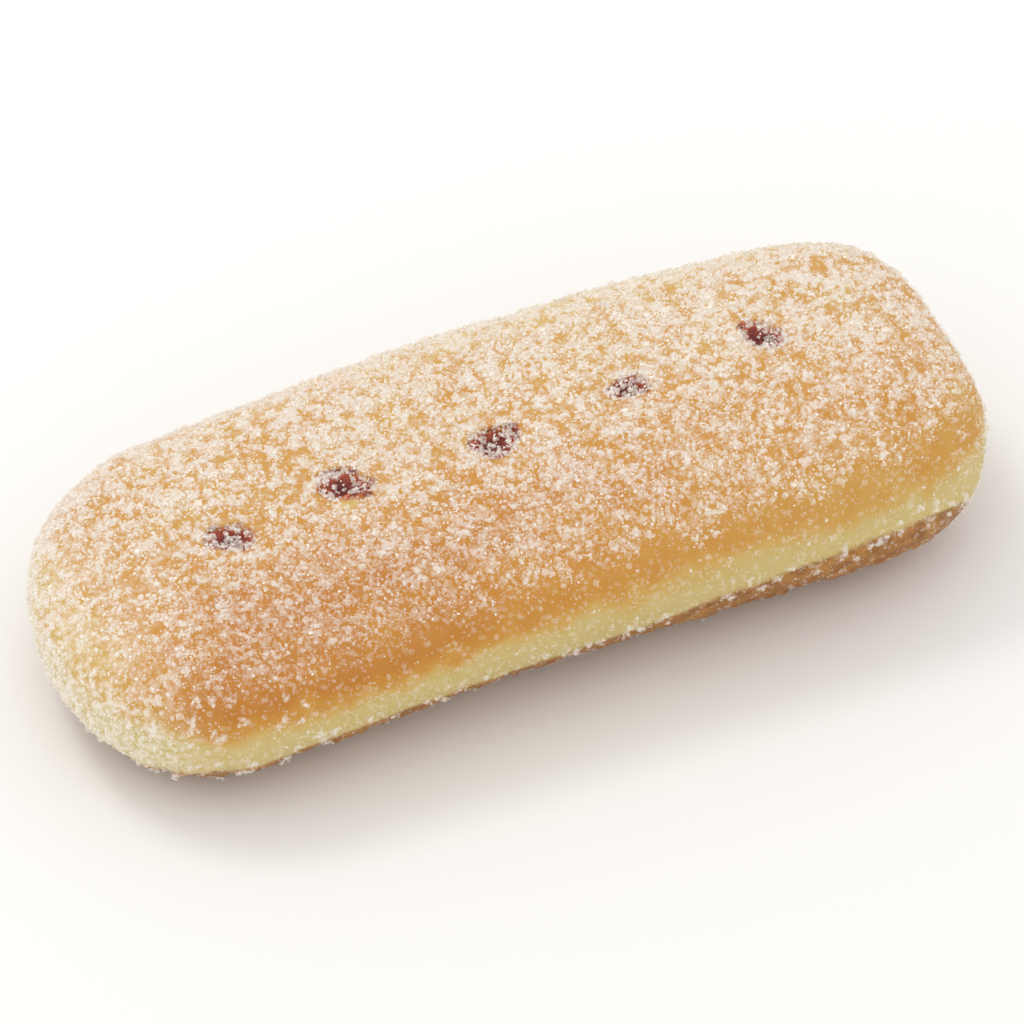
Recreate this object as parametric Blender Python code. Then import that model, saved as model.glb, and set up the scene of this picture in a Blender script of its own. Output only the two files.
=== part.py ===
"""A filled long john doughnut: a yeast-raised bar fried on both sides, pricked along its crown with a
filling nozzle, and rolled in granulated sugar.

Everything is in metres, +Z up. The bar lies along X with its flattened base at z = 0. The dough is one
solid with the coarsest sugar fused to it, and the filling that shows in each nozzle hole is a solid of
its own.
"""

import math
import random

import bmesh
import bpy
from mathutils import Euler, Matrix, Vector

# The bar, before its base settles flat.
LENGTH = 0.140
WIDTH = 0.0583
HEIGHT = 0.0304
WAIST_LEVEL = 0.585 * HEIGHT      # where the bar is widest: the line it floated at in the fryer
BASE_SETTLES = 0.0010             # the lowest millimetre is pressed flat by the bar's own weight

# Its two ends: how long each cap is, and how square in plan (2 is round, 4 nearly a rectangle).
LEFT_CAP, LEFT_SQUARENESS = 0.0267, 2.3
RIGHT_CAP, RIGHT_SQUARENESS = 0.0280, 3.5

# How full the cross-section is above and below the waist (2 is an ellipse).
CROWN_FULLNESS = 2.42
BASE_FULLNESS = 2.70

# How far the hand-shaped bar departs from a straight one.
TAPER = -0.053                    # the right end is this share narrower than the middle
WAISTED_ENDS = 0.095              # both ends are this share narrower
BEND = 0.0029                     # the middle bows this far towards the back
RISE = 0.13                       # the right end stands this share higher

# The fried underside is drawn in near the middle: by this share at the base, none at the waist.
BASE_DRAWN_IN = 0.136
BASE_DRAWN_AT = -0.0075           # where it is drawn in most
BASE_DRAWN_REACH = 0.038          # how far along the bar the drawing in spreads

# Soft hollows and swells that proving leaves on the crown.
SWELL_HEIGHT = 0.00035
SWELL_LENGTH = 0.034

# The pale line round the waist is drawn in a little between the two fried faces.
PALE_LINE_DEPTH = 0.0004
PALE_LINE_HALF_WIDTH = 0.0026

# Nozzle holes along the crown: place along and across the bar, half length and half width of the mouth,
# and the turn of the mouth in degrees.
HOLES = (
    (-0.0418, 0.0015, 0.0034, 0.0027, -28.0),
    (-0.0232, 0.0034, 0.0039, 0.0031, -25.0),
    (-0.0008, 0.0017, 0.0036, 0.0028, -15.0),
    (0.0208, 0.0030, 0.0030, 0.0021, -8.0),
    (0.0420, 0.0037, 0.0034, 0.0024, -45.0),
)
HOLE_DEPTH = 0.0042
HOLE_RAGGEDNESS = 0.13            # how far the torn rim stands in and out, as a share of its radius
HOLE_SIDES, HOLE_RINGS = 16, 8
DIMPLE_DEPTH = 0.0009
DIMPLE_RADIUS = 0.0062
FILLING_GAP = 0.0003
FILLING_SLIMMER = 0.97            # the filling is a touch slimmer still than the gap leaves it
FILLING_BELOW_RIM = 0.0007
CLOT_HEIGHT = 0.00035

# The coarsest sugar, fused to the crust.
SUGAR_SEED = 11
SUGAR_PIECES = 165
SUGAR_RADIUS = (0.00055, 0.00085)
SUGAR_SPACING = 0.0040            # least distance from one crystal to the next
SUGAR_LIFT = 0.40                 # a crystal's centre stands this share of its radius off the crust
SUGAR_LOWEST = 0.0035             # none lower, so that the bar lies on its flat base
SUGAR_CLEAR_OF_HOLES = 0.0016

# Faces along, across and up the box that the bar is drawn out of.
FACES_ALONG, FACES_ACROSS, FACES_UP = 40, 14, 8

CRUST_COLOUR = (0.72, 0.40, 0.13, 1.0)
FILLING_COLOUR = (0.13, 0.022, 0.016, 1.0)


# ---------------------------------------------------------------- the scene

def clear_scene():
    """Removes what the file held before."""
    for thing in list(bpy.context.scene.objects):
        bpy.data.objects.remove(thing, do_unlink=True)


def new_collection(name):
    collection = bpy.data.collections.new(name)
    bpy.context.scene.collection.children.link(collection)
    return collection


def new_material(name, colour, roughness):
    material = bpy.data.materials.new(name)
    material.use_nodes = True
    shader = material.node_tree.nodes["Principled BSDF"]
    shader.inputs["Base Color"].default_value = colour
    shader.inputs["Roughness"].default_value = roughness
    shader.inputs["Metallic"].default_value = 0.0
    return material


def new_object(name, shape, collection, material=None):
    """Turns a bmesh into an object of the collection."""
    bmesh.ops.recalc_face_normals(shape, faces=shape.faces)
    mesh = bpy.data.meshes.new(name)
    shape.to_mesh(mesh)
    shape.free()
    if material:
        mesh.materials.append(material)
    thing = bpy.data.objects.new(name, mesh)
    collection.objects.link(thing)
    return thing


# ---------------------------------------------------------------- the bar's form

def bun_form(box):
    """Moves a point of the box, -1 to 1 each way, out to the bar's surface.

    The bar is a core line with a reach round it. Along the middle the reach is a full oval across the
    bar, and past the core line's ends it closes into a rounded cap. A point keeps its direction from
    the core line and is drawn in until the reach, a sum of powers, is exactly one.
    """
    left = box.x < 0
    cap = LEFT_CAP if left else RIGHT_CAP
    squareness = LEFT_SQUARENESS if left else RIGHT_SQUARENESS
    core_end = LENGTH / 2 - cap
    along = box.x * LENGTH / 2
    on_core = max(-core_end, min(core_end, along))
    past = abs(along - on_core) / cap
    across = abs(box.y)
    fullness = CROWN_FULLNESS if box.z >= 0 else BASE_FULLNESS
    in_plan = (past ** squareness + across ** squareness) ** (1 / squareness)
    reach = (in_plan ** fullness + abs(box.z) ** fullness) ** (1 / fullness)
    x = on_core + (along - on_core) / reach
    y = box.y / reach * WIDTH / 2
    rise = box.z / reach
    half_height = HEIGHT - WAIST_LEVEL if rise >= 0 else WAIST_LEVEL
    return Vector((x, y, WAIST_LEVEL + half_height * rise))


def swell(x, y):
    """Soft unevenness of the crown: two crossed waves of unlike length."""
    first = math.sin(math.tau * (x + 0.4 * y) / SWELL_LENGTH)
    second = math.sin(math.tau * (0.3 * x - y) / (0.8 * SWELL_LENGTH) + 1.0)
    return SWELL_HEIGHT * (first + second) / 2


def dimple(x, y):
    """How far the crown is pushed down round the nozzle holes."""
    depth = 0.0
    for hole_x, hole_y, *_ in HOLES:
        away = math.hypot(x - hole_x, y - hole_y) / DIMPLE_RADIUS
        depth += DIMPLE_DEPTH * math.exp(-away ** 2)
    return depth


def hand_shaped(place):
    """Tapers, bends and settles a point of the straight bar."""
    x, y, z = place
    share = x / (LENGTH / 2)
    pale = (z - WAIST_LEVEL) / PALE_LINE_HALF_WIDTH
    drawn_in = 1 - PALE_LINE_DEPTH / (WIDTH / 2) * math.exp(-pale ** 2)
    near = math.exp(-((x - BASE_DRAWN_AT) / BASE_DRAWN_REACH) ** 2)
    y *= 1 - BASE_DRAWN_IN * near * max(0.0, 1 - z / WAIST_LEVEL)
    y *= drawn_in * (1 + TAPER * share) * (1 - WAISTED_ENDS * share ** 2)
    y += BEND * (1 - share ** 2)
    crown_share = max(0.0, (z - WAIST_LEVEL) / (HEIGHT - WAIST_LEVEL))
    z *= 1 + RISE * share
    z += crown_share * (swell(x, y) - dimple(x, y))
    return Vector((x, y, max(z - BASE_SETTLES, 0.0)))


def crown_at(x, y):
    """Height of the crown over a place near the middle line."""
    share = x / (LENGTH / 2)
    straight_y = (y - BEND * (1 - share ** 2)) / (WIDTH / 2)
    straight_y /= (1 + TAPER * share) * (1 - WAISTED_ENDS * share ** 2)
    rise = (1 - abs(straight_y) ** CROWN_FULLNESS) ** (1 / CROWN_FULLNESS)
    z = WAIST_LEVEL + (HEIGHT - WAIST_LEVEL) * rise
    return z * (1 + RISE * share) + rise * (swell(x, y) - dimple(x, y)) - BASE_SETTLES


def cut_box():
    """A box from -1 to 1 each way, cut into even faces."""
    shape = bmesh.new()
    bmesh.ops.create_cube(shape, size=2.0)
    for axis, faces in enumerate((FACES_ALONG, FACES_ACROSS, FACES_UP)):
        normal = Vector((0.0, 0.0, 0.0))
        normal[axis] = 1.0
        for step in range(1, faces):
            place = normal * (2.0 * step / faces - 1.0)
            everything = shape.verts[:] + shape.edges[:] + shape.faces[:]
            bmesh.ops.bisect_plane(shape, geom=everything, plane_co=place, plane_no=normal)
    return shape


def dough_shape():
    """The bare bar, without holes or sugar."""
    shape = cut_box()
    for vertex in shape.verts:
        vertex.co = hand_shaped(bun_form(vertex.co))
    bmesh.ops.triangulate(shape, faces=shape.faces)
    return shape


# ---------------------------------------------------------------- holes and filling

def ragged(angle, number):
    """How far the torn rim of a hole stands out at an angle, as a share of its radius."""
    lobes = math.sin(2 * angle + 1.7 * number) + math.sin(3 * angle - 2.3 * number)
    return 1 + HOLE_RAGGEDNESS * (lobes + 0.6 * math.sin(5 * angle + number)) / 2


def hole_matrix(hole):
    x, y, _, _, turn = hole
    return Matrix.Translation((x, y, crown_at(x, y))) @ Matrix.Rotation(math.radians(turn), 4, "Z")


def hole_cutter(number, hole):
    """A ragged egg, half of it below the crust."""
    shape = bmesh.new()
    bmesh.ops.create_uvsphere(shape, u_segments=HOLE_SIDES, v_segments=HOLE_RINGS, radius=1.0)
    for vertex in shape.verts:
        rim = ragged(math.atan2(vertex.co.y, vertex.co.x), number)
        vertex.co.x *= hole[2] * rim
        vertex.co.y *= hole[3] * rim
        vertex.co.z *= HOLE_DEPTH
    bmesh.ops.transform(shape, matrix=hole_matrix(hole), verts=shape.verts)
    return shape


def filling_shape(number, hole):
    """The same egg, a gap smaller, its upper half pressed down to a lumpy top below the rim."""
    shape = bmesh.new()
    bmesh.ops.create_uvsphere(shape, u_segments=HOLE_SIDES, v_segments=HOLE_RINGS, radius=1.0)
    for vertex in shape.verts:
        across, up = math.hypot(vertex.co.x, vertex.co.y), vertex.co.z
        clots = math.sin(9 * vertex.co.x + number) * math.cos(8 * vertex.co.y)
        rim = ragged(math.atan2(vertex.co.y, vertex.co.x), number)
        vertex.co.x *= (hole[2] * rim - FILLING_GAP) * FILLING_SLIMMER
        vertex.co.y *= (hole[3] * rim - FILLING_GAP) * FILLING_SLIMMER
        if up > 0:
            vertex.co.z = (1 - across ** 4) * CLOT_HEIGHT * (1 + clots) - FILLING_BELOW_RIM
        else:
            vertex.co.z = up * (HOLE_DEPTH - FILLING_GAP - FILLING_BELOW_RIM) - FILLING_BELOW_RIM
    bmesh.ops.transform(shape, matrix=hole_matrix(hole), verts=shape.verts)
    return shape


# ---------------------------------------------------------------- sugar

def sugar_piece(rng):
    """One coarse sugar crystal: a rounded block, squashed and turned."""
    shape = bmesh.new()
    bmesh.ops.create_icosphere(shape, subdivisions=1, radius=rng.uniform(*SUGAR_RADIUS))
    stretch = Vector((rng.uniform(0.8, 1.25), rng.uniform(0.8, 1.15), rng.uniform(0.75, 1.05)))
    bmesh.ops.scale(shape, vec=stretch, verts=shape.verts)
    turn = Euler([rng.uniform(0, math.tau) for _ in range(3)]).to_matrix()
    bmesh.ops.rotate(shape, matrix=turn, verts=shape.verts)
    return shape


def sugar_likely(place, normal):
    """Share of places that hold coarse sugar: most on the crown, fewer down the bare front face."""
    if place.z < SUGAR_LOWEST or normal.z < -0.6:
        return 0.0
    if normal.z > 0.55:
        return 1.0
    return 0.45 if place.y < 0 else 0.7


def clear_of_holes(place):
    for x, y, half_length, half_width, _ in HOLES:
        rim = half_length * (1 + HOLE_RAGGEDNESS) + SUGAR_CLEAR_OF_HOLES
        if math.hypot(place.x - x, place.y - y) < rim:
            return False
    return True


def sugar_places(dough, rng):
    """Places on the crust with their normals, drawn by area and kept apart from each other."""
    mesh = dough.data
    faces = [face for face in mesh.polygons if face.center.z > SUGAR_LOWEST]
    areas = [face.area for face in faces]
    places = []
    while len(places) < SUGAR_PIECES:
        face = rng.choices(faces, weights=areas)[0]
        corners = [mesh.vertices[index].co for index in face.vertices]
        first, second = sorted((rng.random(), rng.random()))
        place = corners[0] * first + corners[1] * (second - first) + corners[2] * (1 - second)
        if rng.random() > sugar_likely(place, face.normal) or not clear_of_holes(place):
            continue
        if all((place - other).length > SUGAR_SPACING for other, _ in places):
            places.append((place, face.normal.copy()))
    return places


def fuse_sugar(dough, rng):
    """Sets the coarse sugar on the crust and makes one body of it."""
    grains = new_collection("sugar_grains")
    for place, normal in sugar_places(dough, rng):
        shape = sugar_piece(rng)
        size = max(vertex.co.length for vertex in shape.verts)
        bmesh.ops.translate(shape, vec=place + normal * size * SUGAR_LIFT, verts=shape.verts)
        new_object("grain", shape, grains)
    union = dough.modifiers.new("fuse sugar", "BOOLEAN")
    union.operation = "UNION"
    union.solver = "EXACT"
    union.operand_type = "COLLECTION"
    union.collection = grains
    evaluated = dough.evaluated_get(bpy.context.evaluated_depsgraph_get())
    fused = bpy.data.meshes.new_from_object(evaluated)
    dough.modifiers.remove(union)
    dough.data = fused
    for grain in list(grains.objects):
        bpy.data.objects.remove(grain, do_unlink=True)
    bpy.data.collections.remove(grains)


# ---------------------------------------------------------------- assembly

def smooth(thing, sharp_degrees):
    thing.data.shade_smooth()
    thing.data.set_sharp_from_angle(angle=math.radians(sharp_degrees))


def centre(things, dough):
    """Puts the middle of the bar's plan at the origin."""
    corners = [Vector(corner) for corner in dough.bound_box]
    middle_x = (corners[0].x + corners[6].x) / 2
    middle_y = (corners[0].y + corners[6].y) / 2
    for thing in things:
        thing.data.transform(Matrix.Translation((-middle_x, -middle_y, 0.0)))


def main():
    clear_scene()
    parts = new_collection("long_john")
    cutters = new_collection("cutters")
    crust = new_material("sugared_crust", CRUST_COLOUR, 0.75)
    jam = new_material("red_filling", FILLING_COLOUR, 0.3)

    dough = new_object("dough", dough_shape(), parts, crust)
    fuse_sugar(dough, random.Random(SUGAR_SEED))

    moved = [dough]
    for number, hole in enumerate(HOLES, start=1):
        cutter = new_object(f"hole_{number}", hole_cutter(number, hole), cutters)
        cutter.hide_render = True
        cutter.display_type = "WIRE"
        filling = new_object(f"filling_{number}", filling_shape(number, hole), parts, jam)
        smooth(filling, 60)
        moved += [cutter, filling]
    bpy.context.view_layer.update()
    centre(moved, dough)

    pierce = dough.modifiers.new("nozzle holes", "BOOLEAN")
    pierce.operation = "DIFFERENCE"
    pierce.solver = "EXACT"
    pierce.operand_type = "COLLECTION"
    pierce.collection = cutters
    smooth(dough, 40)


main()
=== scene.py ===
# %% [markdown]
# # A filled long john doughnut
#
# A long john is a bar of yeast dough that floats in hot fat, first on one face and then on the other.
# Both faces brown, and the line between them, which never quite dips under, stays pale. While it is warm
# it is pricked along the crown with a nozzle, filled, and rolled in granulated sugar. This lesson makes
# it in that order: the bar, its baked colours, the filling that shows in the holes, and the sugar.

# %% Open the frame
import math

import bpy
import numpy as np
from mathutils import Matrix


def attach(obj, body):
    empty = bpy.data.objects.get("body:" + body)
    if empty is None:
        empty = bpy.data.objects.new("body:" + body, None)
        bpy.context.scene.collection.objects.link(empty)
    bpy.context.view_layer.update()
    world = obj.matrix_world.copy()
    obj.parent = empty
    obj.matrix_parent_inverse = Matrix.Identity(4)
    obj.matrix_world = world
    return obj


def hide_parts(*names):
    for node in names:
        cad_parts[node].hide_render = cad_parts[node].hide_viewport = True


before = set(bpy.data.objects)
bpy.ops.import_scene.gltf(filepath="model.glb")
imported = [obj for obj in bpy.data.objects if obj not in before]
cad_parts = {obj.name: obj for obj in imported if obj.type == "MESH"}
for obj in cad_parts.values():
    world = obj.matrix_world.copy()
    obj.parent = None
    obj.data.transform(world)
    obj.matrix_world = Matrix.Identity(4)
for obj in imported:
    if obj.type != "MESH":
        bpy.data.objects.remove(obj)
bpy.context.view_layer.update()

print("nodes in the frame:", sorted(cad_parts))

# %% [markdown]
# ## Sizes
#
# The bar's driving sizes are the ones its solid was made from, in metres. Everything else follows from
# them. The middle of the straight bar isn't the middle of the finished one, because the bar bows to the
# back, so the finished bar is shifted by half of what it gains on one side.

# %% Driving sizes
MM = 0.001
LENGTH, WIDTH, HEIGHT = 140 * MM, 58.3 * MM, 30.4 * MM
WAIST_LEVEL = 0.585 * HEIGHT
BASE_SETTLES = 1.0 * MM
LEFT_CAP, LEFT_SQUARENESS = 26.7 * MM, 2.3
RIGHT_CAP, RIGHT_SQUARENESS = 28.0 * MM, 3.5
CROWN_FULLNESS, BASE_FULLNESS = 2.42, 2.70
TAPER, WAISTED_ENDS, BEND, RISE = -0.053, 0.095, 2.9 * MM, 0.13
BASE_DRAWN_IN, BASE_DRAWN_AT, BASE_DRAWN_REACH = 0.136, -7.5 * MM, 38 * MM
SWELL_HEIGHT, SWELL_LENGTH = 0.35 * MM, 34 * MM
PALE_LINE_DEPTH, PALE_LINE_HALF_WIDTH = 0.4 * MM, 2.6 * MM

# Nozzle holes: along, across, half length, half width (mm) and turn (degrees).
HOLES = np.array([
    (-41.8, 1.5, 3.4, 2.7, -28.0),
    (-23.2, 3.4, 3.9, 3.1, -25.0),
    (-0.8, 1.7, 3.6, 2.8, -15.0),
    (20.8, 3.0, 3.0, 2.1, -8.0),
    (42.0, 3.7, 3.4, 2.4, -45.0),
])
HOLE_DEPTH, HOLE_RAGGEDNESS, PIT_GAP = 4.2 * MM, 0.13, 0.3 * MM
DIMPLE_DEPTH, DIMPLE_RADIUS = 0.9 * MM, 6.2 * MM
print("holes along the crown, mm:", HOLES[:, 0])

# %% [markdown]
# ## The bar as a formula
#
# The bar could be sculpted, or a subdivided cage could be pulled about until it looked right. A formula
# is shorter and exact. The bar is a core line with a reach round it: across the bar the reach is a full
# oval, and past the ends of the line it closes into a rounded cap. A box cut into a fine grid is drawn
# in until every point lies at that reach, which gives even faces with no poles.

# %% From a box to the bar
def bar_form(box):
    """Points of a box, -1 to 1 each way, on the straight bar.

    Beyond the core line's end a point is `past` cap lengths out, and it is `across` half widths from the
    middle. Plan reach = (past^q + across^q)^(1/q), with q the squareness of that end. Whole reach =
    (plan^n + up^n)^(1/n), with n the fullness of that half. Each point is divided by its reach.
    """
    left, above = box[:, 0] < 0, box[:, 2] >= 0
    cap = np.where(left, LEFT_CAP, RIGHT_CAP)
    square = np.where(left, LEFT_SQUARENESS, RIGHT_SQUARENESS)
    full = np.where(above, CROWN_FULLNESS, BASE_FULLNESS)
    along = box[:, 0] * LENGTH / 2
    on_core = np.clip(along, cap - LENGTH / 2, LENGTH / 2 - cap)
    past, across = np.abs(along - on_core) / cap, np.abs(box[:, 1])
    plan = (past ** square + across ** square) ** (1 / square)
    reach = (plan ** full + np.abs(box[:, 2]) ** full) ** (1 / full)
    half_height = np.where(above, HEIGHT - WAIST_LEVEL, WAIST_LEVEL)
    x = on_core + (along - on_core) / reach
    y = box[:, 1] / reach * WIDTH / 2
    return np.column_stack([x, y, WAIST_LEVEL + half_height * box[:, 2] / reach])


def swell(x, y):
    """Soft unevenness of the crown: the mean of two crossed sine waves of unlike length."""
    first = np.sin(math.tau * (x + 0.4 * y) / SWELL_LENGTH)
    second = np.sin(math.tau * (0.3 * x - y) / (0.8 * SWELL_LENGTH) + 1.0)
    return SWELL_HEIGHT * (first + second) / 2


def dimple(x, y):
    """Depth of the crown round the holes: a bell curve of the distance from each hole, added up."""
    away = np.hypot(x[:, None] - HOLES[:, 0] * MM, y[:, None] - HOLES[:, 1] * MM) / DIMPLE_RADIUS
    return DIMPLE_DEPTH * np.exp(-away ** 2).sum(1)


def hand_shaped(place):
    """Tapers, bends and settles the straight bar, before it is shifted to the middle of its plan."""
    x, y, z = place.T
    share = x / (LENGTH / 2)
    pale = (z - WAIST_LEVEL) / PALE_LINE_HALF_WIDTH
    drawn_in = 1 - PALE_LINE_DEPTH / (WIDTH / 2) * np.exp(-pale ** 2)
    near = np.exp(-((x - BASE_DRAWN_AT) / BASE_DRAWN_REACH) ** 2)
    y = y * (1 - BASE_DRAWN_IN * near * np.clip(1 - z / WAIST_LEVEL, 0, None))
    y = y * drawn_in * (1 + TAPER * share) * (1 - WAISTED_ENDS * share ** 2)
    y = y + BEND * (1 - share ** 2)
    crown_share = np.clip((z - WAIST_LEVEL) / (HEIGHT - WAIST_LEVEL), 0, None)
    z = z * (1 + RISE * share) + crown_share * (swell(x, y) - dimple(x, y))
    return np.column_stack([x, y, np.clip(z - BASE_SETTLES, 0, None)])


# %% [markdown]
# ## A closed grid
#
# The box's six faces are six grids. Their edges share places, so points that round to the same place
# become one, and the shell is closed with no seam. The grid lines crowd towards the middle of the crown,
# where the torn holes need small faces.

# %% Six grids welded into one shell
def box_shell(lines_x, lines_y, lines_z):
    """Points and outward quads of a box, given its grid lines along each axis."""
    lines, points, quads, start = (lines_x, lines_y, lines_z), [], [], 0
    for axis in range(3):
        u, v = (axis + 1) % 3, (axis + 2) % 3
        for side in (-1.0, 1.0):
            grid_u, grid_v = np.meshgrid(lines[u], lines[v], indexing="ij")
            face = np.empty(grid_u.shape + (3,))
            face[..., axis], face[..., u], face[..., v] = side, grid_u, grid_v
            index = start + np.arange(grid_u.size).reshape(grid_u.shape)
            quad = np.stack([index[:-1, :-1], index[1:, :-1], index[1:, 1:], index[:-1, 1:]], -1)
            quads.append(quad.reshape(-1, 4)[:, ::int(side)])
            points.append(face.reshape(-1, 3))
            start += grid_u.size
    points, quads = np.concatenate(points), np.concatenate(quads)
    keys = np.round(points * 1e7).astype(np.int64)
    _, first, shared = np.unique(keys, axis=0, return_index=True, return_inverse=True)
    return points[first], shared.reshape(-1)[quads]


def even_lines(count):
    return np.linspace(-1, 1, count + 1)


def crowded_lines(count, crowding):
    """Grid lines from -1 to 1 that crowd to the middle: (1 - c) t + c t^3."""
    t = even_lines(count)
    return (1 - crowding) * t + crowding * t ** 3


FACES_ALONG, FACES_ACROSS, FACES_UP, CROWDING = 270, 104, 36, 0.5
box_points, bar_quads = box_shell(
    even_lines(FACES_ALONG), crowded_lines(FACES_ACROSS, CROWDING), even_lines(FACES_UP))
straight_bar = bar_form(box_points)
bar_points = hand_shaped(straight_bar)
print("bar:", len(bar_points), "points,", len(bar_quads), "quads")

# %% [markdown]
# ## Lumpy noise
#
# Dough is never quite smooth. Value noise gives lumps of any size: a random number sits at each corner
# of a lattice of cubes, and a point takes a smooth blend of the eight numbers round it. Lumps of two or
# three sizes added up look more natural than one.

# %% Value noise on whole arrays
LATTICE_CELLS, LATTICE_SHIFT = 64, 1000.0


def lumps(points, size, seed):
    """Smooth noise from -1 to 1 with lumps about `size` across; it repeats every 64 lumps."""
    rng = np.random.default_rng(seed)
    lattice = rng.uniform(-1, 1, (LATTICE_CELLS, LATTICE_CELLS, LATTICE_CELLS))
    cell = points / size + LATTICE_SHIFT
    corner = np.floor(cell).astype(int)
    part = cell - corner
    part = part * part * (3 - 2 * part)
    total = np.zeros(len(points))
    for dx in (0, 1):
        for dy in (0, 1):
            for dz in (0, 1):
                weight = np.abs(1 - dx - part[:, 0]) * np.abs(1 - dy - part[:, 1])
                weight *= np.abs(1 - dz - part[:, 2])
                near = (corner + (dx, dy, dz)) % LATTICE_CELLS
                total += weight * lattice[near[:, 0], near[:, 1], near[:, 2]]
    return total


def lump_sum(points, *rows):
    """Lumps of several sizes added up; each row is their height, their size in mm and a seed."""
    return sum(height * lumps(points, size * MM, seed) for height, size, seed in rows)


def smooth_step(value, low, high):
    """0 below low, 1 above high, and an S-shaped blend between: t t (3 - 2 t)."""
    t = np.clip((value - low) / (high - low), 0, 1)
    return t * t * (3 - 2 * t)


# %% [markdown]
# ## Torn holes
#
# The nozzle tears the crust, so a hole's rim is ragged: its radius swings with the angle by a few sine
# waves. Inside the rim the crown drops as steep walls to a pit, and the rim itself stands up a little,
# where the crust was pushed aside.

# %% Rims and pits
def turned(x, y, degrees):
    """Plan places turned about the upright axis, anticlockwise as seen from above."""
    cosine, sine = math.cos(math.radians(degrees)), math.sin(math.radians(degrees))
    return x * cosine - y * sine, x * sine + y * cosine


def ragged(angle, number):
    """How far a rim stands out at an angle, as a share of its radius: three sine waves added to 1."""
    lobes = np.sin(2 * angle + 1.7 * number) + np.sin(3 * angle - 2.3 * number)
    return 1 + HOLE_RAGGEDNESS * (lobes + 0.6 * np.sin(5 * angle + number)) / 2


def hole_reach(x, y, number):
    """Distance from a hole's middle as a share of its ragged rim."""
    along, across, half_length, half_width, turn = HOLES[number - 1]
    u, v = turned(x - along * MM, y - across * MM, -turn)
    u, v = u / (half_length * MM), v / (half_width * MM)
    return np.hypot(u, v) / ragged(np.arctan2(v, u), number)


RIM_HEIGHT, FAR_FROM_HOLES = 0.25 * MM, 9.0
crown = straight_bar[:, 2] > WAIST_LEVEL + 4 * MM
hole_share = np.full(len(bar_points), FAR_FROM_HOLES)
for number in range(1, len(HOLES) + 1):
    reach = hole_reach(bar_points[:, 0], bar_points[:, 1], number)
    hole_share = np.where(crown, np.minimum(hole_share, reach), hole_share)
tears = 0.10 * lumps(bar_points, 0.9 * MM, 5)
pit = 1 - smooth_step(hole_share + tears, 0.72, 1.04)
rim = np.exp(-((hole_share + tears - 1.15) / 0.13) ** 2)

# %% [markdown]
# The second hole's front edge is a flap of crust, soaked with filling, that bridges the front of the pit.
# Pale torn dough shows in front of it. Both are patches of one kind: an oval with a flat top, placed and
# turned in plan.

# %% The flap
FLAP_PLACE, FLAP_SIZE = (-22.8, 0.5), (2.4, 0.85)
TORN_PLACE, TORN_SIZE = (-24.6, -0.6), (1.9, 0.95)
FLAP_TURN, FLAP_HEIGHT = -22, 0.3 * MM


def flap_patch(points, place, size):
    """1 on an oval patch and 0 outside: exp(-(u^2 + v^2)^2), with u and v in half lengths and widths."""
    u, v = turned(points[:, 0] / MM - place[0], points[:, 1] / MM - place[1], -FLAP_TURN)
    return np.exp(-((u / size[0]) ** 2 + (v / size[1]) ** 2) ** 2)


flap = smooth_step(np.where(crown, flap_patch(bar_points, FLAP_PLACE, FLAP_SIZE), 0), 0.05, 0.5)
torn_dough = np.where(crown, flap_patch(bar_points, TORN_PLACE, TORN_SIZE), 0)
pit *= 1 - flap
print("points in the pits:", int((pit > 0.5).sum()))

# %% [markdown]
# ## Relief and level
#
# The crust gets lumps of three sizes along its normal, and the low edge, where crumbs and sugar stuck
# while it was damp, gets coarser ones as well. Two facts about each point are kept for later:
# its level, which is its height over the waist on the straight bar, because the baked colours follow
# the line the bar floated at, and how near it is to a hole.

# %% Relief along the normals
def mesh_normals(points, quads):
    """Unit normals of the points: the cross products of the quads' diagonals, added up at each corner."""
    cross = np.cross(points[quads[:, 2]] - points[quads[:, 0]], points[quads[:, 3]] - points[quads[:, 1]])
    total = np.zeros_like(points)
    for corner in range(4):
        for axis in range(3):
            total[:, axis] += np.bincount(quads[:, corner], cross[:, axis], len(points))
    return total / np.maximum(np.linalg.norm(total, axis=1, keepdims=True), 1e-12)


level = straight_bar[:, 2] - WAIST_LEVEL
bare_normals = mesh_normals(bar_points, bar_quads)
relief = lump_sum(bar_points, (0.16 * MM, 7, 1), (0.07 * MM, 2.6, 2), (0.035 * MM, 1.1, 3))
low_edge = 1 - smooth_step(bar_points[:, 2], 5 * MM, 9 * MM)
relief += low_edge * MM * lump_sum(bar_points, (0.46, 1.9, 7), (0.36, 1.1, 8))
relief *= smooth_step(bar_points[:, 2], 0.2 * MM, 2 * MM)
relief += RIM_HEIGHT * rim * (1 + 0.8 * lumps(bar_points, 1.2 * MM, 4)) + FLAP_HEIGHT * flap
bar_points = bar_points + bare_normals * relief[:, None]
bar_points[:, 2] -= pit * (HOLE_DEPTH + PIT_GAP)
across_bar = hand_shaped(straight_bar)[:, 1]
plan_middle = np.array([0.0, (across_bar.max() + across_bar.min()) / 2, 0.0])
bar_points = bar_points - plan_middle
print("plan middle, mm:", np.round(plan_middle / MM, 2))
print("size, mm:", np.round((bar_points.max(0) - bar_points.min(0)) / MM, 1))

# %% [markdown]
# ## Meshes from arrays
#
# One helper turns points and faces into an object that rides on the frame's only body.

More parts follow.
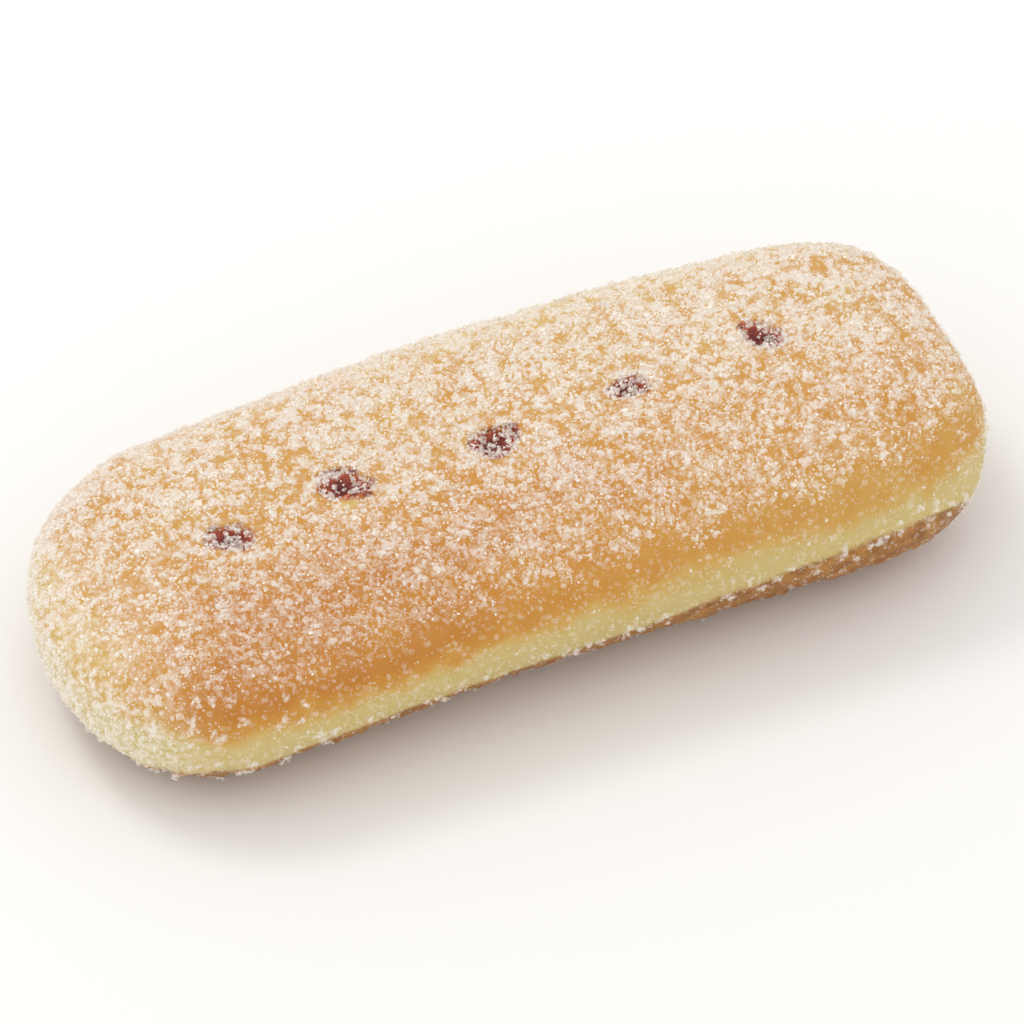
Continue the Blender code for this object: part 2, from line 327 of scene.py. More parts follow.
# %% Points and faces into an object
def new_piece(name, points, faces, material, smooth=True, replaces=()):
    mesh = bpy.data.meshes.new(name)
    sides = faces.shape[1]
    mesh.vertices.add(len(points))
    mesh.vertices.foreach_set("co", points.astype(np.float32).ravel())
    mesh.loops.add(faces.size)
    mesh.loops.foreach_set("vertex_index", faces.astype(np.int32).ravel())
    mesh.polygons.add(len(faces))
    mesh.polygons.foreach_set("loop_start", np.arange(0, faces.size, sides, dtype=np.int32))
    mesh.polygons.foreach_set("use_smooth", np.full(len(faces), smooth))
    mesh.update()
    mesh.validate()
    mesh.materials.append(material)
    piece = bpy.data.objects.new(name, mesh)
    bpy.context.scene.collection.objects.link(piece)
    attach(piece, "root")
    if replaces:
        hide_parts(*replaces)
    print(name, "has", len(faces) * (sides - 2), "triangles")
    return piece


def keep_fact(piece, name, values):
    """Stores one number a point, which a material reads by name."""
    piece.data.attributes.new(name, "FLOAT", "POINT").data.foreach_set("value", values.astype(np.float32))


# %% [markdown]
# ## Arithmetic for materials
#
# A material is a sum of small steps. This class wraps one socket, so that `1 - mask` or `height * 2`
# adds the Math node it needs, and every other node comes from one method.

# %% Sockets with arithmetic
class Wire:
    """One output of a material's nodes, or the empty start of a new material."""

    def __init__(self, tree, socket=None):
        self.tree, self.socket = tree, socket

    def node(self, kind, settings=None, sockets=None, out=0):
        """Adds a node, sets it, then fills its sockets with numbers, colours or wires."""
        new = self.tree.nodes.new(kind)
        for name, value in (settings or {}).items():
            setattr(new, name, value)
        for name, value in (sockets or {}).items():
            if isinstance(value, Wire):
                self.tree.links.new(value.socket, new.inputs[name])
            else:
                new.inputs[name].default_value = value
        return Wire(self.tree, new.outputs[out])

    def maths(self, operation, first, second):
        return self.node("ShaderNodeMath", {"operation": operation}, {0: first, 1: second})

    def __add__(self, other):
        return self.maths("ADD", self, other)

    def __sub__(self, other):
        return self.maths("SUBTRACT", self, other)

    def __rsub__(self, other):
        return self.maths("SUBTRACT", other, self)

    def __mul__(self, other):
        return self.maths("MULTIPLY", self, other)

    __radd__, __rmul__ = __add__, __mul__

    def between(self, low, high):
        """0 where this is below low, 1 where it is above high, with a soft edge."""
        settings = {"interpolation_type": "SMOOTHSTEP"}
        return self.node("ShaderNodeMapRange", settings, {0: self, 1: low, 2: high})

    def clouds(self, size, detail=2.0, roughness=0.5):
        """Noise from 0 to 1 over the object, with features about `size` across."""
        where = self.node("ShaderNodeTexCoord", out="Object")
        return self.node("ShaderNodeTexNoise", None, {
            "Vector": where, "Scale": 1 / size, "Detail": detail, "Roughness": roughness})

    def fact(self, name):
        return self.node("ShaderNodeAttribute", {"attribute_name": name}, out="Fac")

    def blend(self, share, first, second):
        """Mixes two colours: the first where share is 0, the second where it is 1."""
        return self.node("ShaderNodeMix", {"data_type": "RGBA"}, {0: share, 6: first, 7: second}, out=2)

    def ramp(self, share, stops):
        """A colour ramp: each stop is a place from 0 to 1 and its colour."""
        wire = self.node("ShaderNodeValToRGB", None, {"Fac": share}, out="Color")
        row = wire.socket.node.color_ramp.elements
        for index, (place, colour) in enumerate(stops):
            stop = row[index] if index < 2 else row.new(place)
            stop.position, stop.color = place, colour
        return wire

    def bump(self, height, distance):
        return self.node("ShaderNodeBump", None, {"Height": height, "Distance": distance})


def screen(red, green, blue):
    """A colour as a screen shows it, 0 to 255, turned into the light it stands for."""
    share = np.array([red, green, blue]) / 255
    light = np.where(share > 0.04045, ((share + 0.055) / 1.055) ** 2.4, share / 12.92)
    return (*(float(channel) for channel in light), 1.0)


def new_material(name):
    """A material with one Principled shader, and the start of its wires."""
    material = bpy.data.materials.new(name)
    material.use_nodes = True
    shader = material.node_tree.nodes["Principled BSDF"]
    return material, shader, Wire(material.node_tree)


def plug(shader, **wires):
    for name, wire in wires.items():
        shader.id_data.links.new(wire.socket, shader.inputs[name.replace("_", " ")])


# %% [markdown]
# ## How far the dough is fried
#
# One number tells the colour of fried dough: how far it has browned. The crown is golden, the band above
# the waist lay longest in the fat and is deepest, most of all towards the left, and the left end hardly
# coloured. At the waist the pale crumb shows, in a line about five millimetres wide with soft edges.

# %% Browning, from 0 for pale dough to 1 for deep orange crust
def browning(points, level):
    """Bands of level, each at its own browning, times a share that falls off at the ends.

    The band's own browning runs along the bar by straight lines between a few places, and both its edges
    wander by lumps of two sizes. An S-shaped blend joins each band to the next.
    """
    along = points[:, 0] / MM
    high = level / MM + lump_sum(points, (1.1, 9, 23), (0.9, 2.2, 24))
    places = (-67, -58, -48, -25, 0, 25, 50, 64)
    band = np.interp(along, places, (0.30, 0.90, 0.94, 0.90, 0.72, 0.53, 0.46, 0.50))
    crown = np.interp(along, (-68, -58, -30, 30, 60, 68), (0.22, 0.45, 0.50, 0.46, 0.50, 0.68))
    front = np.interp(along, (-64, -48, 0, 60), (0, 0.50, 0.36, 0.16))
    crown = crown + front * smooth_step(-points[:, 1] / MM, -6, 16)
    brown = band + (crown - band) * smooth_step(high, 6.5, 12.5)
    brown = brown * (1 - 0.4 * smooth_step(points[:, 1] / MM, 14, 24))
    brown = brown * smooth_step(high + 0.9 * lumps(points, 4 * MM, 36), -2.8, 5.4)
    return np.clip(brown + lump_sum(points, (0.07, 6, 25), (0.09, 2.4, 35)), 0, 1)


def underside_edge(points):
    """Level where the brown underside begins: it climbs from left to right as the bar tips in the fat."""
    places = (-68, -56, -42, 0, 12, 25, 45, 57, 62, 66, 69)
    levels = (-10.4, -8.3, -6.9, -7.1, -6.4, -5.0, -3.6, -3.4, -5.2, -8.2, -9.6)
    return np.interp(points[:, 0] / MM, places, levels) * MM + 0.5 * MM * lumps(points, 2.2 * MM, 33)


# %% Crust material
BROWNING_STOPS = (
    (0.00, screen(206, 185, 121)),
    (0.30, screen(208, 168, 90)),
    (0.50, screen(204, 149, 66)),
    (0.75, screen(200, 138, 52)),
    (1.00, screen(190, 121, 42)),
)


def crust_material():
    material, shader, start = new_material("fried_crust")
    fine = start.clouds(1.3 * MM, 4.0, 0.6)
    fried = start.fact("browning") + (fine - 0.5) * 0.16
    crust = start.ramp(fried, BROWNING_STOPS)
    mottled = start.clouds(2.4 * MM, 3.0, 0.6).between(0.35, 0.65)
    under = start.blend(mottled * 0.6 + fine * 0.4, screen(136, 82, 34), screen(188, 134, 64))
    below = start.fact("level") * 1000 - start.fact("underside_edge") * 1000 + (fine - 0.5) * 1.5
    whole = start.blend(below.between(-0.8, 0.8), under, crust)
    jam = start.blend(fine.between(0.4, 0.6), screen(112, 40, 26), screen(184, 86, 42))
    stained = start.blend(start.fact("stain"), whole, jam)
    # Whitening film: sugar dust on the crown, a paler left end, and painted sheen along the back.
    with_dust_and_sheen = start.blend(start.fact("dust_and_sheen") * fine.between(0.35, 0.75), stained, screen(246, 236, 220))

    pores = start.clouds(0.5 * MM, 3.0, 0.6) * 0.4 + fine
    plug(shader, Base_Color=with_dust_and_sheen, Normal=start.bump(pores, 0.12 * MM))
    shader.inputs["Roughness"].default_value = 0.5
    shader.inputs["Specular IOR Level"].default_value = 0.3
    return material


crust = crust_material()

# %% [markdown]
# ## The bar
#
# The bar takes the shell, the relief and the crust. A film of sugar dust, too fine to make as grains,
# lies on the crown, and the same whitening is laid on the left end; along the back it is painted sheen,
# the whiter look of sugar at a grazing angle with light from behind. The filling stains the crust round
# the holes.

# %% Make the bar
bar = new_piece("sugared_bar", bar_points, bar_quads, crust, replaces=("dough",))
keep_fact(bar, "level", level)
keep_fact(bar, "browning", browning(bar_points, level) * (1 - 0.7 * torn_dough))
keep_fact(bar, "underside_edge", underside_edge(bar_points))
along, across = bar_points[:, 0] / MM, bar_points[:, 1] / MM
# The film: sugar dust on the crown, painted sheen along the back, and whitening at the left end.
dust_and_sheen_film = 0.06 * smooth_step(level / MM, 3, 8) + 0.40 * smooth_step(across, 15, 27)
dust_and_sheen_film += 0.6 * (1 - smooth_step(along, -69, -53))
dust_and_sheen_film += 0.35 * (1 - smooth_step(along, -64, -44)) * (1 - smooth_step(level / MM, -2, 3))
keep_fact(bar, "dust_and_sheen", dust_and_sheen_film)
stain_edge = hole_share + 0.25 * lumps(bar_points, 1.4 * MM, 6)
rim_stain = (1 - smooth_step(stain_edge, 0.97, 1.15)) * (1 - flap)
keep_fact(bar, "stain", np.maximum(rim_stain, 0.95 * flap))

# %% [markdown]
# ## The filling
#
# Each hole shows a plug of red-brown filling with a wet, clotted top. It keeps the form of its solid: a
# ragged egg whose upper half is pressed into a shallow bowl just below the rim. A sphere's grid of rings
# and spokes gives the egg, closed at both poles, and lumps of two sizes make the clots. The middle of
# the bowl is a dark brown red, and its edge is lighter. Part of that is the filling thin over the dough
# at the edge, and part is painted shade, darkest where the bowl is deepest.

# %% Filling material
def filling_material():
    material, shader, start = new_material("red_filling")
    clots = start.clouds(0.6 * MM, 4.0, 0.7)
    # Darker towards the middle of the bowl: partly the filling's own colour, partly painted shade in the pit.
    depth = start.fact("depth") + (clots - 0.5) * 2.4
    filling_and_painted_shade = start.ramp(depth, (
        (0.00, screen(188, 92, 50)), (0.30, screen(158, 66, 42)),
        (0.65, screen(134, 52, 40)), (1.00, screen(94, 34, 28))))
    plug(shader, Base_Color=filling_and_painted_shade, Normal=start.bump(start.clouds(0.35 * MM, 4.0), 0.25 * MM))
    plug(shader, Roughness=0.22 + 0.25 * clots)
    shader.inputs["Specular IOR Level"].default_value = 0.35
    return material


filling = filling_material()

# %% Filling shapes
FILLING_BELOW_RIM, FILLING_BOWL = 0.2 * MM, 0.7 * MM
RINGS, SPOKES = 48, 72


def sphere_grid(rings, spokes):
    """Unit sphere as two poles and rings of points between them, with outward triangles."""
    turn, tilt = np.meshgrid(np.arange(spokes) * math.tau / spokes, np.arange(1, rings) * math.pi / rings)
    points = np.column_stack([(np.sin(tilt) * np.cos(turn)).ravel(), (np.sin(tilt) * np.sin(turn)).ravel(),
                              np.cos(tilt).ravel()])
    index = np.arange(points.shape[0]).reshape(rings - 1, spokes)
    after = np.roll(index, -1, axis=1)
    upper, lower = (index[:-1], after[:-1]), (index[1:], after[1:])
    first = np.stack([upper[0], lower[0], lower[1]], -1).reshape(-1, 3)
    second = np.stack([upper[0], lower[1], upper[1]], -1).reshape(-1, 3)
    top, bottom = len(points), len(points) + 1
    cap = np.column_stack([np.full(spokes, top), index[0], after[0]])
    foot = np.column_stack([np.full(spokes, bottom), after[-1], index[-1]])
    poles = np.array([(0, 0, 1.0), (0, 0, -1.0)])
    return np.concatenate([points, poles]), np.concatenate([first, second, cap, foot])


def crown_at(x, y):
    """Height of the bare crown over a place near the middle line."""
    share = x / (LENGTH / 2)
    straight_y = (y - BEND * (1 - share ** 2)) / (WIDTH / 2)
    straight_y = straight_y / ((1 + TAPER * share) * (1 - WAISTED_ENDS * share ** 2))
    rise = (1 - np.abs(straight_y) ** CROWN_FULLNESS) ** (1 / CROWN_FULLNESS)
    z = WAIST_LEVEL + (HEIGHT - WAIST_LEVEL) * rise
    return z * (1 + RISE * share) + rise * (swell(x, y) - dimple(x, y)) - BASE_SETTLES


def make_filling(number):
    """A ragged egg: upper half pressed to a lumpy bowl, lower half sunk in the pit."""
    along, across, half_length, half_width, turn = HOLES[number - 1]
    ball, triangles = sphere_grid(RINGS, SPOKES)
    angle, out = np.arctan2(ball[:, 1], ball[:, 0]), np.hypot(ball[:, 0], ball[:, 1])
    rim = ragged(angle, number)
    x, y = ball[:, 0] * half_length * MM * rim, ball[:, 1] * half_width * MM * rim
    flat = np.column_stack([x, y, np.zeros_like(x)]) + number
    clots = lump_sum(flat, (0.32 * MM, 1.3, 31), (0.20 * MM, 0.6, 32))
    top = (1 - out ** 4) * clots - FILLING_BELOW_RIM - FILLING_BOWL * (1 - out ** 2)
    foot = ball[:, 2] * (HOLE_DEPTH - FILLING_BELOW_RIM) - FILLING_BELOW_RIM
    z = np.where(ball[:, 2] > 0, top, foot)
    place = np.column_stack([*turned(x, y, turn), z])
    middle = np.array([along * MM, across * MM])
    height = crown_at(middle[:1], middle[1:])[0]
    place = place + (*middle, height) - plan_middle
    piece = new_piece(f"filling_in_hole_{number}", place, triangles, filling, replaces=(f"filling_{number}",))
    # Depth into the bowl, which also paints shade in the middle of the filling.
    keep_fact(piece, "depth", 1 - out ** 2)
    return place, triangles[ball[triangles, 2].min(1) > 0]


filling_shapes = [make_filling(number) for number in range(1, len(HOLES) + 1)]

# %% [markdown]
# ## Granulated sugar
#
# A sugar crystal is a clear block about half a millimetre across with worn corners, and between the whole
# ones lie broken ones. Tens of thousands lie on the bar, so a block is only a box of eight corners and a
# shard has four. They are jostled, stretched and turned at random, all worked out as whole arrays. Places
# are drawn by area times how thick the coat is.
#
# Clear glass in such a heap would need many bounces of light, so each kind is a plain white surface that
# lets a fixed share of what lies behind it show. Real sugar passes light on to the crust under it, so the
# crystals cast no shadow and throw no light back: without that the crust goes dull and dark.

# %% Crystals as arrays
BOX_CORNERS = np.array([(x, y, z) for x in (-0.5, 0.5) for y in (-0.5, 0.5) for z in (-0.5, 0.5)])
BOX_TRIANGLES = np.array([
    (0, 1, 3), (0, 3, 2), (4, 6, 7), (4, 7, 5), (0, 4, 5), (0, 5, 1),
    (2, 3, 7), (2, 7, 6), (0, 2, 6), (0, 6, 4), (1, 5, 7), (1, 7, 3)])
BLOCK = (BOX_CORNERS, BOX_TRIANGLES)
SHARD = (BOX_CORNERS[[0, 3, 5, 6]], np.array([(0, 1, 2), (0, 3, 1), (0, 2, 3), (1, 3, 2)]))
THINNEST, THICKEST, JOSTLE, FLOOR_GAP = (0.85, 0.7, 0.6), (1.2, 1.0, 0.95), 0.22, 0.02 * MM


def random_turns(rng, count):
    """Rotation matrices from random unit quaternions."""
    drawn = rng.normal(size=(count, 4))
    w, x, y, z = drawn.T / np.linalg.norm(drawn, axis=1)
    rows = [1 - 2 * (y * y + z * z), 2 * (x * y - z * w), 2 * (x * z + y * w),
            2 * (x * y + z * w), 1 - 2 * (x * x + z * z), 2 * (y * z - x * w),
            2 * (x * z - y * w), 2 * (y * z + x * w), 1 - 2 * (x * x + y * y)]
    return np.stack(rows, -1).reshape(count, 3, 3)


def crystals(rng, places, sizes, shape=BLOCK):
    """Points and triangles of one jostled, turned block or shard at each place, all above the floor."""
    corners, triangles = shape
    count = len(places)
    stretch = rng.uniform(THINNEST, THICKEST, (count, 3))
    grains = corners * (1 + rng.uniform(-JOSTLE, JOSTLE, (count, len(corners), 3)))
    grains = grains * (stretch * sizes[:, None])[:, None, :]
    grains = np.einsum("nij,nkj->nki", random_turns(rng, count), grains) + places[:, None, :]
    grains[..., 2] = np.maximum(grains[..., 2], FLOOR_GAP)
    triangles = triangles[None] + len(corners) * np.arange(count)[:, None, None]
    return grains.reshape(-1, 3), triangles.reshape(-1, 3)


# %% Places on a surface
def areas_and_normals(points, triangles):
    """Half the length and the direction of the cross product of two edges of each triangle."""
    corners = points[triangles]
    cross = np.cross(corners[:, 1] - corners[:, 0], corners[:, 2] - corners[:, 0])
    length = np.linalg.norm(cross, axis=1)
    return length / 2, cross / length[:, None]


def scatter(rng, points, triangles, weights, count):
    """Random places on a surface and its normals there, drawn by area times weight."""
    area, normals = areas_and_normals(points, triangles)
    total = np.cumsum(area * weights)
    chosen = np.searchsorted(total, rng.uniform(0, total[-1], count))
    first, second = np.sort(rng.uniform(size=(2, count)), axis=0)
    shares = np.stack([first, second - first, 1 - second], -1)
    return np.einsum("nk,nki->ni", shares, points[triangles[chosen]]), normals[chosen]


# %% Sugar material and pieces
SUGAR_TINT, SUGAR_IOR = screen(246, 240, 230), 1.54


def sugar_piece(name, points, triangles, cover, roughness):
    """One kind of crystals as one piece; cover is the share they hide of what is behind them."""
    material, shader, _ = new_material(name)
    shader.inputs["Base Color"].default_value = SUGAR_TINT
    shader.inputs["Roughness"].default_value = roughness
    shader.inputs["IOR"].default_value = SUGAR_IOR
    shader.inputs["Alpha"].default_value = cover
    piece = new_piece(name, points, triangles, material, smooth=False)
    piece.visible_shadow = piece.visible_diffuse = False


# %% [markdown]
# ## Three coats
#
# Rolling leaves the coat uneven. It is thick on the crown and the back, and sparse on the waist and the
# underside. Down the front shoulder it turns to clearer grains that let the crust show through: partly a
# thinner coat, partly painted shade on the face turned from the light. A coat is a number for each point
# of the bar, 1 where it is full. It comes in patches of three sizes, because grains cling to grains. The
# filling keeps a few bare spots, and the flap stays bare.

# %% Where the sugar sticks
# Bare spots in the holes: hole, along and across from its middle, radius (mm).
BARE_SPOTS = np.array([
    (1, -1.4, 2.0, 0.8), (1, -0.1, 2.5, 0.7), (1, 0.8, 1.6, 0.65), (1, 1.6, 0.7, 0.7), (1, 2.2, -1.3, 0.9),
    (1, -1.3, 0.9, 0.7), (2, 0.8, 2.3, 1.1), (2, -0.1, 1.1, 1.1), (2, -2.4, 0.9, 0.8), (2, 0.3, -0.8, 0.7),
    (2, -2.1, -0.8, 0.6), (2, 1.2, 0.5, 0.7), (3, 0.9, 2.1, 0.9), (3, -1.7, 0.6, 0.8), (3, 0.9, -0.4, 0.9),
    (3, -0.7, -1.1, 0.6), (3, 1.2, -2.0, 0.6), (3, -0.1, 1.5, 0.7), (3, 2.0, 0.5, 0.5), (4, -1.0, 0.5, 0.75),
    (4, 1.5, -0.1, 0.9), (5, -1.2, 2.0, 1.15), (5, -0.3, 0.5, 1.1), (5, 1.6, -1.2, 0.9), (5, -1.9, 0.3, 0.6),
])
spot_places = HOLES[BARE_SPOTS[:, 0].astype(int) - 1, :2] + BARE_SPOTS[:, 1:3]


def bare_share(points):
    """1 in a bare spot and 0 outside, from a bell with a flat top: exp(-(distance / radius)^4)."""
    away = (points[:, None, :2] + plan_middle[:2]) / MM - spot_places
    return np.exp(-(np.linalg.norm(away, axis=2) / BARE_SPOTS[:, 3]) ** 4).max(1)


def crown_coat(points, level):
    """Share of a full coat of white grains: thick on the crown and shoulder, and down the ends and back."""
    high = level / MM + lump_sum(points, (1.3, 5, 20), (0.5, 1.8, 26))
    high = high - 0.8 * (1 - smooth_step(points[:, 0], -40 * MM, -10 * MM))
    ends = 1 - smooth_step(points[:, 0], -66 * MM, -53 * MM)
    ends = ends + 0.2 * smooth_step(points[:, 0], 56 * MM, 68 * MM)
    # The back gets extra white grains: sugar lying there, and painted sheen for the whiter look of sugar at a
    # grazing angle.
    back = smooth_step(points[:, 1], 4 * MM, 18 * MM)
    coat = 0.75 * smooth_step(high, 5.8, 9.0) + 0.25 * smooth_step(high, 9.5, 12) + 0.12 * back
    coat = 1.04 * coat + (0.45 * ends + 0.7 * back) * (1 - smooth_step(high, 5.8, 9.0)) + 0.02
    coat = coat * (1 - 0.19 * (1 - smooth_step(points[:, 0], -35 * MM, -5 * MM)) * (1 - back))
    coat = coat * (1 - 0.12 * np.exp(-((points[:, 0] - 2 * MM) / (20 * MM)) ** 2))
    patchy = lump_sum(points, (0.22, 6, 21), (0.50, 2.2, 22), (1.5, 1.2, 30))
    patchy = 0.93 + patchy * (1 - 0.35 * front_shade_share(points))
    return coat * np.clip(patchy, 0.04, 2.8)


def front_shade_share(points):
    """How far a place lies down the front shoulder: thinner, clearer coat there, partly painted shade."""
    along = np.interp(points[:, 0] / MM, (-60, -48, -15, 10, 60), (0.38, 1.0, 0.95, 0.80, 0.70))
    return along * smooth_step(-points[:, 1] / MM, -3, 17)


def side_coat(points, level):
    """Share of a full coat of clear grains: even on the sides, thicker low down on the underside's edge."""
    high = level / MM + 1.2 * lumps(points, 4 * MM, 27)
    low = (level - underside_edge(points)) / MM
    coat = 0.45 + 0.55 * smooth_step(high, 5, 8) - 0.15 * (1 - smooth_step(low, -1, 1))
    return coat * np.clip(1 + lump_sum(points, (0.5, 5, 28), (0.5, 1.8, 29)), 0.15, 2)


bar_triangles = np.concatenate([bar_quads[:, (0, 1, 2)], bar_quads[:, (0, 2, 3)]])
sugared = smooth_step(bar_points[:, 2], 0.8 * MM, 2.0 * MM) * (1 - 0.97 * flap) * (1 - 0.8 * torn_dough)
sugared *= 1 - bare_share(bar_points) * (1 - smooth_step(hole_share, 0.9, 1.15))
sugared *= 0.6 + 0.4 * smooth_step(hole_share, 0.9, 1.1)
sugared *= 1 - 0.75 * smooth_step(-bare_normals[:, 2], 0.25, 0.6)
white_coat = crown_coat(bar_points, level) * sugared
# The shoulder coat takes clearer grains: a thinner coat there, and painted shade down the front.
COATS = {
    "crown": white_coat * (1 - 0.85 * front_shade_share(bar_points)),
    "shoulder": white_coat * (0.25 + 0.85 * front_shade_share(bar_points)),
    "sides": side_coat(bar_points, level) * sugared,
}

# %% [markdown]
# ## Nine kinds of grain
#
# Grains differ in size and in how much light they stop, from bright chips that stop nearly all of it to
# clear blocks that hardly show. The brightest chips are also painted glints. Each kind is one piece with
# one plain material. The counts follow from the density, so the coat stays the same if the bar is made
# longer.

# %% Scatter the sugar
# Kind, shape and coat; grains a square millimetre; size and spread in mm; share hidden; roughness.
SUGAR_KINDS = (
    ("sugar_white", BLOCK, "crown", 0.80, 0.54, 0.10, 0.50, 0.20),
    ("sugar_milky", BLOCK, "crown", 0.60, 0.68, 0.12, 0.28, 0.15),
    ("sugar_crumbs", SHARD, "crown", 3.2, 0.32, 0.07, 0.58, 0.20),
    # Bright chips: opaque sugar that also serves as painted glints.
    ("sugar_bright_glints", SHARD, "crown", 2.0, 0.33, 0.07, 0.95, 0.15),
    # Clearer grains for the front shoulder: a thinner coat, and painted shade.
    ("sugar_glassy_shaded", BLOCK, "shoulder", 1.2, 0.60, 0.10, 0.20, 0.10),
    ("sugar_splinters_shaded", SHARD, "shoulder", 4.0, 0.32, 0.06, 0.30, 0.15),
    ("sugar_clear", BLOCK, "sides", 0.8, 0.56, 0.10, 0.13, 0.08),
    ("sugar_faint", SHARD, "sides", 2.8, 0.30, 0.06, 0.20, 0.10),
    ("sugar_coarse", BLOCK, "crown", 0.14, 0.86, 0.12, 0.38, 0.12),
)
MOST_TRIANGLES = 198000
SMALLEST, LARGEST = 0.18, 1.2
SUNK, RAISED = -0.05, 0.22
triangle_area, _ = areas_and_normals(bar_points, bar_triangles)
for seed, (name, shape, coat, density, size, spread, cover, roughness) in enumerate(SUGAR_KINDS):
    rng = np.random.default_rng(100 + seed)
    weight = COATS[coat][bar_triangles].mean(1)
    wanted = int(density * (triangle_area * weight).sum() / MM ** 2)
    count = min(wanted, MOST_TRIANGLES // len(shape[1]))
    places, normals = scatter(rng, bar_points, bar_triangles, weight, count)
    sizes = np.clip(rng.normal(size, spread, count), SMALLEST, LARGEST) * MM
    places = places + normals * (sizes * rng.uniform(SUNK, RAISED, count))[:, None]
    print(name, "wanted", wanted, "made", count)
    sugar_piece(name, *crystals(rng, places, sizes, shape), cover, roughness)

# %% [markdown]
# ## Sugar in the holes
#
# Crystals fell into the wet holes too and stuck. They lie on the filling everywhere but in a few bare
# spots, which differ from hole to hole: the second hole shows most filling and the fourth hardly any.

# %% Crystals on the filling
# Kind and shape; grains a square millimetre; size and spread in mm; share hidden.
HOLE_SUGAR = (
    ("sugar_in_holes", BLOCK, 1.3, 0.62, 0.10, 0.34),
    # Bright chips: opaque sugar that also serves as painted glints.
    ("bright_glint_sugar_in_holes", SHARD, 2.8, 0.36, 0.09, 0.95),
)
HOLE_SMALLEST, HOLE_LARGEST = 0.22, 0.9
CLEAR_OF_FLAP, ABOVE_FILLING = 0.4, 0.35
for seed, (name, shape, density, size, spread, cover) in enumerate(HOLE_SUGAR):
    rng, hole_places = np.random.default_rng(40 + seed), []
    for points, triangles in filling_shapes:
        area, _ = areas_and_normals(points, triangles)
        middles = points[triangles].mean(1)
        weight = 1 - 0.95 * bare_share(middles)
        weight *= 1 - flap_patch(middles + plan_middle, FLAP_PLACE, np.add(FLAP_SIZE, CLEAR_OF_FLAP))
        count = int(density * (area * weight).sum() / MM ** 2)
        places, normals = scatter(rng, points, triangles, weight, count)
        hole_places.append(places + normals * ABOVE_FILLING * MM)
    hole_places = np.concatenate(hole_places)
    sizes = np.clip(rng.normal(size, spread, len(hole_places)), HOLE_SMALLEST, HOLE_LARGEST) * MM
    sugar_piece(name, *crystals(rng, hole_places, sizes, shape), cover, 0.10)

# %% [markdown]
# ## Clumps
#
# Where the sugar was damp, crystals stuck together in clumps of eight or so that stand out from the bar
# and make its outline bumpy, most of all low on the left and along the rim of the underside.

# %% Clumps of crystals
CLUMPS, CLUMP_GRAINS, CLUMP_RADIUS, CLUMP_STANDS_OUT = 520, 8, 0.34 * MM, 0.4 * MM
GRAIN_SIZE, GRAIN_SPREAD, GRAIN_SMALLEST, GRAIN_LARGEST = 0.44, 0.09, 0.25, 0.8
rng = np.random.default_rng(60)
low_left = (1 - smooth_step(bar_points[:, 0], -60 * MM, -20 * MM)) * (1 - smooth_step(level, 2 * MM, 8 * MM))
rim_line = np.exp(-((level - underside_edge(bar_points)) / (1.5 * MM)) ** 2)
clump_weight = (0.2 * crown_coat(bar_points, level) + 0.35 * low_left + 1.4 * rim_line) * sugared
places, normals = scatter(rng, bar_points, bar_triangles, clump_weight[bar_triangles].mean(1), CLUMPS)
places, normals = np.repeat(places, CLUMP_GRAINS, 0), np.repeat(normals, CLUMP_GRAINS, 0)
spread_out = rng.normal(0, CLUMP_RADIUS, places.shape)
rise = (spread_out * normals).sum(1)
places = places + spread_out - normals * (rise - np.clip(rise, 0, CLUMP_STANDS_OUT))[:, None]
sizes = np.clip(rng.normal(GRAIN_SIZE, GRAIN_SPREAD, len(places)), GRAIN_SMALLEST, GRAIN_LARGEST) * MM
sugar_piece("sugar_clumps", *crystals(rng, places, sizes), 0.24, 0.12)

# %% [markdown]
# ## Floor, light and camera
#
# The bar lies on a plain pale floor in soft studio light: a large lamp above and behind it, which
# leaves the front face a little darker, and a bright surrounding that fills the shadows. The camera
# looks down at it from the front left, through a long lens that hardly narrows the far end.

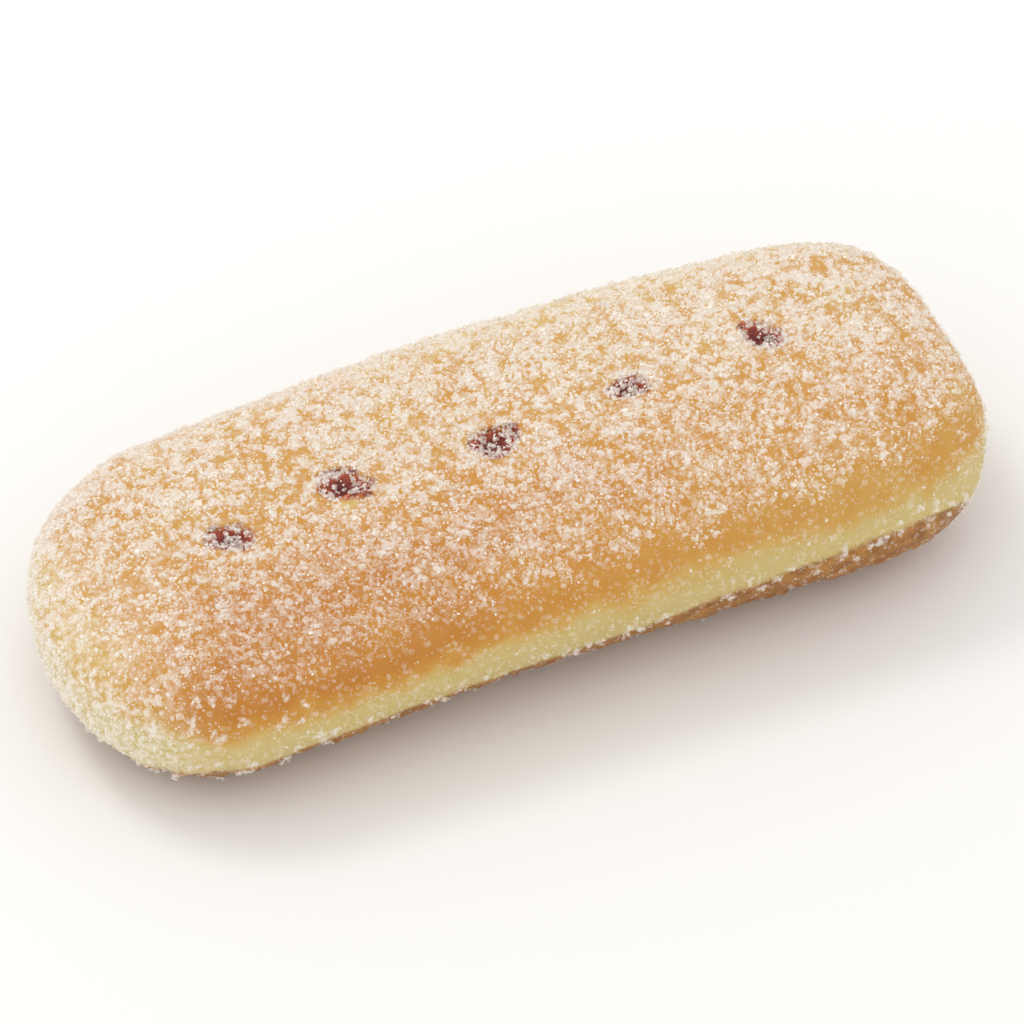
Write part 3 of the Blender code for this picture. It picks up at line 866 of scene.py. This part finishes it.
# %% Floor
floor_material, floor_shader, _ = new_material("pale_floor")
floor_shader.inputs["Base Color"].default_value = screen(246, 245, 243)
floor_shader.inputs["Roughness"].default_value = 0.9
FLOOR_SIDE = 4.0
bpy.ops.mesh.primitive_plane_add(size=FLOOR_SIDE)
floor = bpy.context.object
floor.name = "floor"
floor.data.materials.append(floor_material)

# %% Light
LOOK_AT = np.array([0, 0, 0.015])


def area_lamp(name, place, size, power):
    """A round soft lamp that points at the middle of the bar."""
    lamp = bpy.data.lights.new(name, "AREA")
    lamp.shape, lamp.size, lamp.energy = "DISK", size, power
    holder = bpy.data.objects.new(name, lamp)
    bpy.context.scene.collection.objects.link(holder)
    holder.location = place
    away = np.array(place) - LOOK_AT
    flat = math.hypot(away[0], away[1])
    holder.rotation_euler = (math.atan2(flat, away[2]), 0, math.atan2(away[0], -away[1]))


area_lamp("key_above_behind", (-0.25, 0.55, 0.9), 0.35, 2.0)
world = bpy.data.worlds.new("bright_room")
world.use_nodes = True
world.node_tree.nodes["Background"].inputs["Color"].default_value = (1.0, 1.0, 1.0, 1.0)
world.node_tree.nodes["Background"].inputs["Strength"].default_value = 0.97
bpy.context.scene.world = world
bpy.context.scene.view_settings.view_transform = "Standard"

# %% Camera
AZIMUTH, ELEVATION = math.radians(-23.99), math.radians(44.41)
DISTANCE, PIXELS_PER_METRE, PICTURE_SIDE, SENSOR = 2.9, 7008.0, 1024, 36.0
FRAME_RIGHT, FRAME_DOWN = 2.07 * MM, 0.89 * MM
camera_data = bpy.data.cameras.new("camera")
camera = bpy.data.objects.new("camera", camera_data)
bpy.context.scene.collection.objects.link(camera)
camera_data.sensor_width = SENSOR
camera_data.lens = PIXELS_PER_METRE * DISTANCE / PICTURE_SIDE * SENSOR
back = np.array([math.sin(AZIMUTH) * math.cos(ELEVATION), -math.cos(AZIMUTH) * math.cos(ELEVATION),
                 math.sin(ELEVATION)])
right = np.array([math.cos(AZIMUTH), math.sin(AZIMUTH), 0.0])
up = np.cross(back, right)
camera.location = LOOK_AT + right * FRAME_RIGHT - up * FRAME_DOWN + back * DISTANCE
camera.rotation_euler = (math.pi / 2 - ELEVATION, 0, AZIMUTH)
bpy.context.scene.camera = camera
